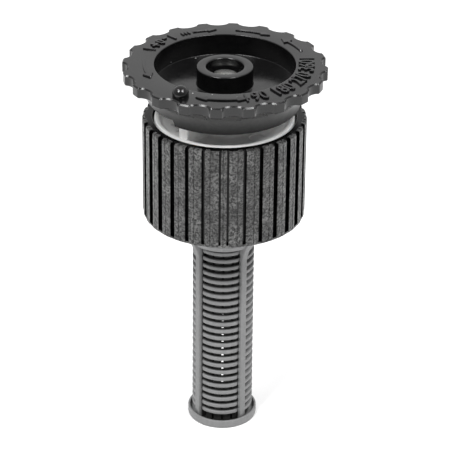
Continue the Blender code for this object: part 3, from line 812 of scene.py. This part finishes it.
def make_plate():
    """The pale plate with its dish, rounded lip, hub, spigot and post."""
    dish = [
        (SLEEVE_R, HUB_TOP_Z, 0.1 * MM),
        (SLEEVE_R + 0.15 * MM, 4.6 * MM, 0.3 * MM),
        (7.0 * MM, 4.75 * MM, 1.2 * MM),
        (8.75 * MM, 5.3 * MM, 0.6 * MM),
        (9.25 * MM, LIP_Z - 0.05 * MM, 0.2 * MM),
        (LIP_R - 0.1 * MM, LIP_Z, 0.22 * MM),
        (LIP_R, LIP_Z - 0.4 * MM, 0.1 * MM),
        (LIP_R, PLATE_FOOT_Z, 0.0),
        (7.9 * MM, PLATE_FOOT_Z, 0.0),
        (7.9 * MM, PLATE_FOOT_Z + 1.05 * MM, 0.1 * MM),
        (6.5 * MM, PLATE_FOOT_Z + 1.05 * MM, 0.1 * MM),
        (6.5 * MM, PLATE_FOOT_Z, 0.0),
        (SPIGOT_R, PLATE_FOOT_Z, 0.0),
        (SPIGOT_R, 0.9 * MM, 0.0),
        (SPIGOT_R + 0.2 * MM, 0.8 * MM, 0.05 * MM),
        (SPIGOT_R, 0.3 * MM, 0.05 * MM),
        (SPIGOT_R, SPIGOT_FOOT_Z, 0.2 * MM),
        (PLATE_BORE_R, SPIGOT_FOOT_Z, 0.2 * MM),
        (PLATE_BORE_R, 0.6 * MM, 0.1 * MM),
        (SEAT_R, 0.6 * MM, 0.05 * MM),
        (SEAT_R, 1.1 * MM, 0.05 * MM),
        (PLATE_BORE_R, 1.8 * MM, 0.1 * MM),
        (PLATE_BORE_R, HUB_TOP_Z, 0.05 * MM),
    ]
    plate = turned("plate_moulding", dish, 192)
    post = turned(
        "post_shape",
        [
            (POST_R, POST_TOP_Z, 0.1 * MM),
            (POST_R, POST_FOOT_Z, 0.1 * MM),
            (POST_BORE_R, POST_FOOT_Z, 0.0),
            (POST_BORE_R, 9.5 * MM, 0.0),
            (2.0 * MM, 9.5 * MM, 0.0),
            (2.0 * MM, 10.4 * MM, 0.0),
            (POST_BORE_R, 10.4 * MM, 0.0),
            (POST_BORE_R, POST_TOP_Z, 0.0),
        ],
        64,
    )
    web = (1.9 * MM, 0.9 * MM, 2.4 * MM)
    webs = [
        block(f"post_web_{angle}", web, (2.9 * MM, 3.4 * MM), angle, 0.05 * MM)
        for angle in (30, 150, 270)
    ]
    fin_length = PLATE_FIN_REACH - SLEEVE_R
    fin_top = CEILING_Z - 0.35 * MM
    fin = block(
        "plate_fin",
        (fin_length + 0.2 * MM, PLATE_FIN_WIDTH, fin_top - PLATE_FIN_FOOT_Z),
        (SLEEVE_R + fin_length / 2.0 + 0.1 * MM, (fin_top + PLATE_FIN_FOOT_Z) / 2.0),
        PLATE_FIN_ANGLE,
        0.1 * MM,
    )
    rings = [
        ejector_ring("ejector_ring_left", -75.6, 7.5 * MM, 1.15 * MM, DISH_Z + 0.2 * MM),
        ejector_ring("ejector_ring_right", 44.8, 6.35 * MM, 1.12 * MM, DISH_Z + 0.02 * MM),
    ]
    return smooth(merge_into(plate, [post, fin] + webs + rings), 30.0)


def ejector_ring(name, angle, distance, radius, height):
    """The low ridge that an ejector pin leaves on the dish."""
    bpy.ops.mesh.primitive_torus_add(
        major_segments=48,
        minor_segments=10,
        major_radius=radius,
        minor_radius=0.13 * MM,
        location=polar(angle, distance, height),
    )
    ring = bpy.context.object
    ring.name = name
    bpy.context.view_layer.update()
    return ring


# ---------------------------------------------------------------- skirt


def groove_angles():
    half_turn = 180.0 - NARROW_LAND
    pitch = half_turn / WIDE_LANDS
    angles = []
    for side in (0.0, 180.0):
        first = side + NARROW_LAND / 2.0
        angles += [first + i * pitch for i in range(WIDE_LANDS + 1)]
    return sorted(angles)


def pull_depth(angle):
    """How far a groove runs into the wall along the way the mould opens, which is front to back."""
    return GROOVE_DEPTH / max(abs(math.cos(math.radians(angle))), 0.42)


def sunk(angle, depth):
    """The angle and radius of a point on a land, moved in this deep along the mould's pull."""
    x, y, _ = polar(angle, SKIRT_R - 0.02 * MM, 0.0)
    y += depth if y < 0.0 else -depth
    return math.degrees(math.atan2(x, -y)) % 360.0, math.hypot(x, y)


def groove_edges(angle):
    """The two lips of a groove, which is wider towards the sides so that the mould releases."""
    half = math.degrees(GROOVE_WIDTH / 2.0 / SKIRT_R)
    turn = math.radians(angle)
    if abs(math.sin(turn)) < math.sin(math.radians(NARROW_LAND)):
        half *= MIDDLE_GROOVE_SHARE
    side = 1.0 if math.sin(turn) * math.cos(turn) > 0.0 else -1.0
    extra = GROOVE_FLARE * math.sin(turn) ** 2
    near, far = angle - side * half, angle + side * (half + extra)
    return min(near, far), max(near, far)


def skirt_stations():
    """(angle of the land, its radius, angle and radius of the groove's floor) all the way round."""
    grooves = [groove_edges(angle) for angle in groove_angles()]
    lip = math.degrees(0.06 * MM / SKIRT_R)
    crest = SKIRT_R - 0.01 * MM
    found = []
    for k, (start, end) in enumerate(grooves):
        ahead = grooves[(k + 1) % len(grooves)][0] + (360.0 if k + 1 == len(grooves) else 0.0)
        depth = pull_depth((start + end) / 2.0)
        found.append((start, crest - 0.03 * MM, start, crest - 0.03 * MM))
        for share in (0.02, 0.5, 0.98):
            angle = start + (end - start) * share
            found.append((angle, crest - 0.03 * MM, *sunk(angle, depth)))
        found.append((end, crest - 0.03 * MM, end, crest - 0.03 * MM))
        found.append((end + lip, crest, end + lip, crest))
        front_side = math.cos(math.radians(end)) * math.sin(math.radians(end)) > 0.0
        ridge = 0.6 if front_side else 0.4
        middle = end + (ahead - end) * ridge
        crown = crest + 0.02 * MM
        for angle, radius in (
            (middle - 1.6 * lip, crown),
            (middle, crest - FACET_LINE),
            (middle + 1.6 * lip, crown),
            (ahead - lip, crest),
        ):
            found.append((angle, radius, angle, radius))
    return found


def thread_radius(angle, height):
    """The bore's radius where the riser screws in: a trapezoid thread, one pitch a turn."""
    lead_in = 0.6 * MM
    turn = (height / THREAD_PITCH - angle / 360.0) % 1.0
    shares = (0.0, 0.18, 0.42, 0.66, 0.9, 1.0)
    deep = (0.0, 0.0, 1.0, 1.0, 0.0, 0.0)
    depth = float(np.interp(turn, shares, deep))
    fade = min(1.0, max(0.0, (-0.4 * MM - height) / (0.6 * MM)))
    chamfer = max(0.0, SKIRT_FOOT_Z + lead_in - height)
    return THREAD_CREST_R + (THREAD_ROOT_R - THREAD_CREST_R) * depth * fade + chamfer


def make_skirt(grained, plain_painted_shade):
    foot_round = 0.12 * MM
    groove_foot = SKIRT_FOOT_Z + 0.4 * MM
    shoulder_z = SKIRT_TOP_Z - 0.24 * MM
    wall_rows = [
        shoulder_z - 0.05 * MM + (groove_foot - shoulder_z) * k / 10.0 for k in range(11)
    ]
    thread_rows = np.linspace(SKIRT_FOOT_Z, -0.1 * MM, THREAD_ROWS)
    grid = []
    for angle, land, floor_angle, floor in skirt_stations():
        in_groove = floor < land - 0.05 * MM
        edge_in = PLAIN_SHADED_TOP_R + 0.03 * MM if in_groove else land - 0.30 * MM
        edge_out = PLAIN_SHADED_TOP_R + 0.05 * MM if in_groove else land - 0.10 * MM
        row = [
            polar(angle, SKIRT_BORE_R + 0.12 * MM, SKIRT_TOP_Z),
            polar(angle, PLAIN_SHADED_TOP_R, SKIRT_TOP_Z),
            polar(angle, edge_in, SKIRT_TOP_Z - 0.01 * MM),
            polar(angle, edge_out, SKIRT_TOP_Z - 0.09 * MM),
            polar(floor_angle, floor, shoulder_z),
        ]
        row += [polar(floor_angle, floor, z) for z in wall_rows]
        row += [
            polar(angle, land, groove_foot - 0.05 * MM),
            polar(angle, land, SKIRT_FOOT_Z + foot_round),
            polar(angle, land - foot_round * 0.3, SKIRT_FOOT_Z + foot_round * 0.3),
            polar(angle, land - foot_round, SKIRT_FOOT_Z),
        ]
        row += [polar(angle, thread_radius(angle, z), z) for z in thread_rows]
        row += [
            polar(angle, GASKET_POCKET_R, 0.0),
            polar(angle, GASKET_POCKET_R, GASKET_POCKET_Z),
            polar(angle, INLET_R, GASKET_POCKET_Z),
            polar(angle, INLET_R, PLATE_SEAT_Z),
            polar(angle, SKIRT_BORE_R, PLATE_SEAT_Z),
            polar(angle, SKIRT_BORE_R, SKIRT_TOP_Z - 0.12 * MM),
        ]
        grid.append(row)
    skirt = smooth(skin("skirt_moulding", grid), 4.0)
    place(skirt, "nozzle_body", ["ribbed_skirt"], "grained_black_plastic", grained)
    skirt.data.materials.append(plain_painted_shade)
    # groove floors, bore and the top edge beside the lip take the second material, which is
    # near-black painted shade
    for face in skirt.data.polygons:
        x, y, z = face.center
        on_top = z > SKIRT_TOP_Z - 0.15 * MM and math.hypot(x, y) > PLAIN_SHADED_TOP_R + 0.15 * MM
        on_land = math.hypot(x, y) > SKIRT_R - 0.16 * MM or on_top
        face.material_index = 0 if on_land else 1


# ---------------------------------------------------------------- filter


def head_radius(height, recess):
    """The radius of the filter head's flare at this height."""
    start = (HEAD_R, HEAD_FOOT_Z)
    pull = (4.75 * MM, HEAD_FOOT_Z - 1.7 * MM)
    end = (RIB_R, HEAD_FOOT_Z - 3.5 * MM)
    curve = [bezier(start, pull, end, k / 24.0) for k in range(25)]
    heights = [z for _, z in curve][::-1]
    radii = [r for r, _ in curve][::-1]
    return float(np.interp(height, heights, radii)) - recess


def make_head():
    """The wide head of the filter, its neck, and the recessed band above the windows."""
    band_z = FIRST_RING_Z + RING_PITCH / 2.0 + 0.31 * MM
    outer = [
        (2.95 * MM, -4.3 * MM, 0.1 * MM),
        (3.4 * MM, -4.3 * MM, 0.15 * MM),
        (3.4 * MM, -6.6 * MM, 0.1 * MM),
        (HEAD_R, -6.6 * MM, 0.3 * MM),
        (HEAD_R, HEAD_FOOT_Z, 0.2 * MM),
    ]
    recess = 0.34 * MM
    for k in range(1, 7):
        z = HEAD_FOOT_Z + (band_z - HEAD_FOOT_Z) * k / 6.0
        outer.append((head_radius(z, recess * min(1.0, k / 2.0)), z, 0.0))
    last_r, last_z, _ = outer[-1]
    outer[-1] = (last_r, last_z, 0.1 * MM)
    outer += [
        (FILTER_BORE_R, band_z, 0.0),
        (FILTER_BORE_R, HEAD_FOOT_Z - 0.6 * MM, 0.0),
        (5.0 * MM, HEAD_FOOT_Z, 0.2 * MM),
        (5.0 * MM, -7.6 * MM, 0.2 * MM),
        (2.95 * MM, -7.6 * MM, 0.1 * MM),
    ]
    return turned("filter_head", outer, 128)


def ring_radius(angle):
    """How far out a ring reaches: flush at the sides, recessed in the front and back windows."""
    turn = (angle + 50.0) % 180.0
    if turn > FRONT_WINDOW:
        return SIDE_RING_R
    run_out = min(turn, FRONT_WINDOW - turn) / RING_RUN_OUT
    return RECESSED_RING_R - 0.4 * MM * (1.0 - min(1.0, run_out)) ** 2


def make_ring(height):
    """One ring of the screen: drafted, with a rounded outer edge."""
    stations = 144
    grid = []
    for i in range(stations):
        angle = 360.0 * i / stations
        outer = ring_radius(angle)
        half = RING_HEIGHT / 2.0
        root = half + 0.05 * MM
        inner = GROOVE_FLOOR_R - 0.1 * MM
        corners = [
            (inner, height + root, 0.0),
            (outer, height + half, 0.13 * MM),
            (outer, height - half, 0.11 * MM),
            (inner, height - root, 0.0),
        ]
        grid.append([polar(angle, p.x, p.y) for p in rounded(corners, 3)])
    return skin("ring", grid)


def make_rib(start, end):
    """One upright rib, proud of the rings, that widens into the head's flare."""
    top_z = HEAD_FOOT_Z + 0.3 * MM
    foot_z = CAP_FLOOR_Z + 0.05 * MM
    lean_z = HEAD_FOOT_Z - 3.6 * MM
    heights = [*np.linspace(foot_z, lean_z, 12), *np.linspace(lean_z, top_z, 16)[1:]]
    soften = math.degrees(0.12 * MM / RIB_R)
    stations = [(start, 0.12 * MM), (start + soften * 0.35, 0.035 * MM), (start + soften, 0.0)]
    middle = np.linspace(start + soften, end - soften, 7)[1:-1]
    stations += [(angle, 0.0) for angle in middle]
    stations += [(end - soften, 0.0), (end - soften * 0.35, 0.035 * MM), (end, 0.12 * MM)]
    grid = []
    for height in heights:
        radius = head_radius(height, 0.0) if height > lean_z else RIB_R
        row = [polar(angle, radius - sink, height) for angle, sink in stations]
        row += [polar(angle, FILTER_BORE_R + 0.1 * MM, height) for angle in (end, start)]
        grid.append(row)
    return close_ends(skin("rib", grid, loop_stations=False))


def make_stave(start, end):
    """One upright stave of the inner wall; the slits between staves cross the grooves."""
    top_z = FIRST_RING_Z + RING_PITCH
    foot_z = CAP_FLOOR_Z + 0.1 * MM
    angles = np.linspace(start, end, 6)
    grid = []
    for height in (foot_z, top_z):
        row = [polar(angle, GROOVE_FLOOR_R, height) for angle in angles]
        row += [polar(angle, FILTER_BORE_R, height) for angle in angles[::-1]]
        grid.append(row)
    return close_ends(skin("stave", grid, loop_stations=False))


def make_filter():
    pieces = [make_ring(FIRST_RING_Z - k * RING_PITCH) for k in range(RINGS)]
    pieces += [make_rib(start, end) for start, end in RIBS]
    slit = math.degrees(0.17 * MM / GROOVE_FLOOR_R)
    pitch = 360.0 / STAVES
    pieces += [make_stave(k * pitch + slit, (k + 1) * pitch - slit) for k in range(STAVES)]
    return smooth(merge_into(make_head(), pieces), 35.0)


def make_end_cap():
    corners = [
        (0.0, CAP_FLOOR_Z + 0.9 * MM, 0.0),
        (3.1 * MM, CAP_FLOOR_Z + 0.9 * MM, 0.15 * MM),
        (3.1 * MM, CAP_FLOOR_Z, 0.05 * MM),
        (CAP_R - 0.32 * MM, CAP_FLOOR_Z, 0.1 * MM),
        (CAP_R - 0.32 * MM, CAP_RIM_Z, 0.08 * MM),
        (CAP_R, CAP_RIM_Z, 0.14 * MM),
        (CAP_R, CAP_FOOT_Z, 0.22 * MM),
        (2.6 * MM, CAP_FOOT_Z, 0.05 * MM),
        (2.5 * MM, CAP_FOOT_Z + 0.1 * MM, 0.05 * MM),
        (0.45 * MM, CAP_FOOT_Z + 0.1 * MM, 0.05 * MM),
        (0.3 * MM, CAP_FOOT_Z + 0.02 * MM, 0.05 * MM),
        (0.0, CAP_FOOT_Z + 0.02 * MM, 0.0),
    ]
    return smooth(turned("end_cap_moulding", corners, 144, closed=False), 35.0)


# ---------------------------------------------------------------- small pieces


def make_screw():
    clip_z = 1.75 * MM
    corners = [
        (0.0, SCREW_HEAD_Z, 0.0),
        (SCREW_HEAD_R, SCREW_HEAD_Z, 0.2 * MM),
        (SCREW_HEAD_R, SCREW_HEAD_Z - 0.9 * MM, 0.05 * MM),
        (SCREW_R, SCREW_HEAD_Z - 0.9 * MM, 0.0),
        (SCREW_R, clip_z, 0.0),
        (CLIP_GROOVE_R, clip_z, 0.0),
        (CLIP_GROOVE_R, clip_z - 0.5 * MM, 0.0),
        (SCREW_R, clip_z - 0.5 * MM, 0.0),
        (SCREW_R, SCREW_FOOT_Z, 0.3 * MM),
        (0.0, SCREW_FOOT_Z, 0.0),
    ]
    screw = turned("screw_turning", corners, 72, closed=False)
    slot = (5.0 * MM, 0.6 * MM, 0.9 * MM)
    cutter = block("slot_cutter", slot, (0.0, SCREW_HEAD_Z), SLOT_ANGLE, 0.02 * MM)
    cut = screw.modifiers.new("slot", "BOOLEAN")
    cut.operation = "DIFFERENCE"
    cut.solver = "EXACT"
    cut.object = cutter
    bpy.context.view_layer.update()
    graph = bpy.context.evaluated_depsgraph_get()
    mesh = bpy.data.meshes.new_from_object(screw.evaluated_get(graph))
    screw.modifiers.clear()
    screw.data = mesh
    bpy.data.objects.remove(cutter, do_unlink=True)
    return smooth(screw, 30.0)


def make_seal(name, middle_r, thickness, height):
    bpy.ops.mesh.primitive_torus_add(
        major_segments=96,
        minor_segments=20,
        major_radius=middle_r,
        minor_radius=thickness / 2.0,
        location=(0.0, 0.0, height),
    )
    ring = bpy.context.object
    ring.name = name
    return smooth(ring)


def make_gasket():
    corners = [
        (8.9 * MM, 0.95 * MM, 0.08 * MM),
        (8.9 * MM, 0.0, 0.08 * MM),
        (4.6 * MM, 0.0, 0.08 * MM),
        (4.6 * MM, 0.95 * MM, 0.08 * MM),
    ]
    return smooth(turned("gasket_ring", corners, 144))


def make_washer():
    top = FACE_Z - 2.65 * MM
    corners = [
        (2.55 * MM, top, 0.04 * MM),
        (2.55 * MM, top - 0.3 * MM, 0.04 * MM),
        (1.35 * MM, top - 0.3 * MM, 0.04 * MM),
        (1.35 * MM, top, 0.04 * MM),
    ]
    return smooth(turned("washer_ring", corners, 72))


# ---------------------------------------------------------------- studio


def make_camera():
    """The viewpoint: in front, looking down on the nozzle, with a long lens."""
    tilt = math.radians(CAMERA_TILT)
    camera = bpy.data.cameras.new("camera")
    camera.sensor_width = 36.0
    camera.lens = CAMERA_LENS
    camera.shift_x, camera.shift_y = CAMERA_SHIFT
    camera.clip_start = 0.01
    camera.clip_end = 20.0
    obj = add_object("camera", camera)
    back = Vector((0.0, -math.cos(tilt), math.sin(tilt)))
    roll = Matrix.Rotation(math.radians(CAMERA_ROLL), 4, "Z")
    facing = Matrix.Rotation(math.radians(90.0) - tilt, 4, "X") @ roll
    obj.matrix_world = Matrix.Translation(Vector(CAMERA_AIM) + back * CAMERA_DISTANCE) @ facing
    bpy.context.scene.camera = obj


def add_light(name, place, size, power):
    """A rectangular light that faces the nozzle."""
    light = bpy.data.lights.new(name, "AREA")
    light.shape = "RECTANGLE"
    light.size, light.size_y = size
    light.energy = power
    obj = add_object(name, light)
    obj.location = place
    obj.rotation_euler = (-Vector(place)).to_track_quat("-Z", "Y").to_euler()


def make_studio(floor_material):
    world = bpy.data.worlds.new("studio")
    world.use_nodes = True
    tree = world.node_tree
    background = tree.nodes["Background"]
    background.inputs["Color"].default_value = (1.0, 1.0, 1.0, 1.0)
    split = tree.nodes.new("ShaderNodeSeparateXYZ")
    fall = tree.nodes.new("ShaderNodeMapRange")
    direction = tree.nodes.new("ShaderNodeTexCoord").outputs["Generated"]
    tree.links.new(direction, split.inputs["Vector"])
    tree.links.new(split.outputs["Y"], fall.inputs["Value"])
    fall.inputs["From Min"].default_value = -1.0
    fall.inputs["To Min"].default_value = FRONT_GLOW
    fall.inputs["To Max"].default_value = BACK_GLOW
    tree.links.new(fall.outputs["Result"], background.inputs["Strength"])
    bpy.context.scene.world = world
    floor_z = CAP_FOOT_Z - 0.02 * MM
    shape = bmesh.new()
    bmesh.ops.create_grid(shape, x_segments=8, y_segments=8, size=3.0)
    bmesh.ops.translate(shape, vec=(0.0, 0.0, floor_z), verts=shape.verts)
    floor = from_bmesh("studio_floor", shape)
    floor.data.materials.append(floor_material)
    for side, side_name, share in ((-1.0, "left", 1.0), (1.0, "right", RIGHT_SHARE)):
        for kind, (x, y, z), size, power in LIGHTS:
            add_light(f"{side_name}_{kind}", (side * x, y, z), size, power * share)


def main():
    black = black_plastic()
    grained = grained_plastic()
    pale = pale_plastic()
    grey = grey_plastic()
    soft = rubber()
    bright = steel()

    make_collar(black, wall_black_painted_shade())
    place(make_bump(), "arc_collar", [], "black_plastic", black)
    place(make_marks(), "arc_collar", [], "black_plastic", black)
    place(make_collar_fin(), "arc_collar", [], "black_plastic", black)
    place(make_plate(), "nozzle_body", ["nozzle_plate"], "pale_plastic", pale)
    make_skirt(grained, satin_black_painted_shade())
    place(make_gasket(), "nozzle_body", ["riser_gasket"], "seal_rubber", soft)
    place(make_washer(), "nozzle_body", ["thrust_washer"], "stainless_steel", bright)
    seals = (  # node, body, middle radius, thickness and height
        ("plate_seal", "nozzle_body", 7.2 * MM, 1.1 * MM, 3.3 * MM),
        ("screw_seal", "nozzle_body", 1.65 * MM, 0.6 * MM, 9.95 * MM),
        ("collar_seal", "collar_rise", 2.76 * MM, 0.76 * MM, FACE_Z - 5.95 * MM),
    )
    for node, body, middle_r, thickness, height in seals:
        ring = make_seal(node + "_ring", middle_r, thickness, height)
        place(ring, body, [node], "seal_rubber", soft)
    place(make_screw(), "radius_screw", ["radius_screw"], "stainless_steel", bright)
    place(make_filter(), "filter", ["filter_screen"], "grey_plastic", grey)
    place(make_end_cap(), "filter", ["filter_end_cap"], "grey_plastic", grey)
    for node, material in (("retaining_clip", bright), ("throttle_nut", black)):
        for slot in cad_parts[node].material_slots:
            slot.material = material

    make_studio(studio_white())
    make_camera()
    bpy.context.scene.view_settings.view_transform = "Standard"


main()
